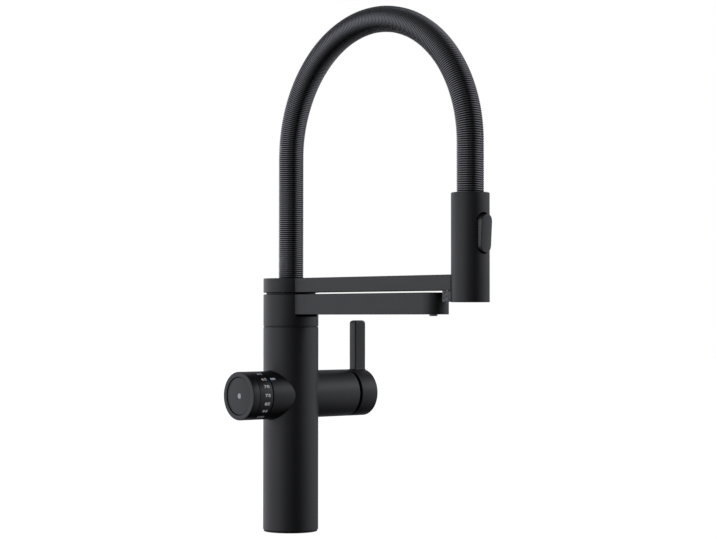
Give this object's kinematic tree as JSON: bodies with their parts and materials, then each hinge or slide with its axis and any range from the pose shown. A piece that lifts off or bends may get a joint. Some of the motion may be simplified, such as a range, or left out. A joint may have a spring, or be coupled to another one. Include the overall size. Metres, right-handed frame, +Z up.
{
  "type": "boiling water tap",
  "caption": "Matt black kitchen tap: round column, numbered boiling-water dial, side mixer lever, swivelling low spout, and an arm docking a hand spray on an arched spring hose.",
  "frame": {"origin": "centre of the column's foot, on the worktop", "axes": "+Z up; the spout, the arm and the hand spray reach towards -Y; the boiling-water dial is on -X and the mixer lever on +X"},
  "size_m": [0.1485, 0.2731, 0.4627],
  "materials": {
    "black_paint": "matt black powder coat on brass, fine even texture",
    "black_plastic": "black moulded plastic, satin",
    "grey_plastic": "dark grey moulded plastic",
    "rubber": "black rubber, dull",
    "brass": "machined brass",
    "steel": "plain stainless steel",
    "black_steel": "black coated steel wire, satin"
  },
  "bodies": {
    "column": {"base_seal": "rubber", "base_plate": "brass", "column_body": "black_paint", "cold_inlet_tube": "steel", "hot_inlet_tube": "steel", "boiling_inlet_tube": "steel", "boiling_outlet_tube": "steel", "mixed_water_tube": "steel", "swivel_post": "brass", "post_oring_lower": "rubber", "post_oring_upper": "rubber", "seam_washer": "black_plastic", "arm_washer": "black_plastic", "hot_valve_body": "brass", "dial_gap_ring": "rubber", "mixer_cartridge": "grey_plastic", "cartridge_nut": "brass", "lever_gap_ring": "rubber"},
    "spout": {"spout_body": "black_paint", "spout_bush_lower": "grey_plastic", "spout_bush_upper": "grey_plastic", "spout_grub_screw": "steel", "outlet_nozzle": "black_plastic", "outlet_insert": "grey_plastic"},
    "arm": {"hose_arm": "black_paint", "arm_bush": "grey_plastic", "arm_grub_screw": "steel", "dock_bracket": "black_plastic", "dock_screw_1": "steel", "dock_screw_2": "steel", "dock_magnet": "steel", "hose_ferrule": "black_steel", "hose_spring": "black_steel", "hose_water_tube": "rubber"},
    "spray": {"spray_shell": "black_paint", "hose_connector": "brass", "spray_valve_body": "grey_plastic", "rocker_pin": "steel", "spray_chamber": "grey_plastic", "spray_keeper_plate": "steel", "spray_nozzle_plate": "rubber", "spray_aerator": "grey_plastic"},
    "rocker": {"rocker_button": "black_plastic"},
    "diverter": {"diverter_spool": "brass"},
    "dial": {"dial_number_ring": "black_paint", "dial_knob": "black_paint", "dial_spindle": "brass", "dial_return_spring": "steel"},
    "push_face": {"dial_push_face": "black_paint"},
    "lever": {"lever_handle": "black_paint", "cartridge_stem": "brass", "lever_grub_screw": "steel"}
  },
  "joints": [
    {"name": "spout_swivel", "type": "hinge", "parent": "column", "child": "spout", "pos_m": [0, 0, 0.2], "axis": [0, 0, 1], "range_deg": [-90, 90]},
    {"name": "arm_swivel", "type": "hinge", "parent": "column", "child": "arm", "pos_m": [0, 0, 0.22], "axis": [0, 0, 1], "range_deg": [-90, 90]},
    {"name": "spray_undock", "type": "slide", "parent": "arm", "child": "spray", "axis": [0, -1, 0], "range_m": [0, 0.045], "deforming": ["hose_spring", "hose_water_tube"]},
    {"name": "rocker_tilt", "type": "hinge", "parent": "spray", "child": "rocker", "pos_m": [0, -0.2396, 0.2621], "axis": [-1, 0, 0], "range_deg": [0, 6.84]},
    {"name": "diverter_slide", "type": "slide", "parent": "spray", "child": "diverter", "axis": [0, 1, 0], "range_m": [0, 0.00095]},
    {"name": "dial_turn", "type": "hinge", "parent": "column", "child": "dial", "pos_m": [-0.05, 0, 0.1233], "axis": [-1, 0, 0], "range_deg": [-21, 104]},
    {"name": "dial_push", "type": "slide", "parent": "dial", "child": "push_face", "axis": [1, 0, 0], "range_m": [0, 0.002], "stiffness_N_per_m": 1200, "springref_m": -0.002, "deforming": ["dial_return_spring"]},
    {"name": "lever_turn", "type": "hinge", "parent": "column", "child": "lever", "pos_m": [0.075, 0, 0.1233], "axis": [1, 0, 0], "range_deg": [0, 95]}
  ],
  "couplings": [
    {"joint": "rocker_tilt", "follows": "diverter_slide", "rad_per_m": 125}
  ]
}
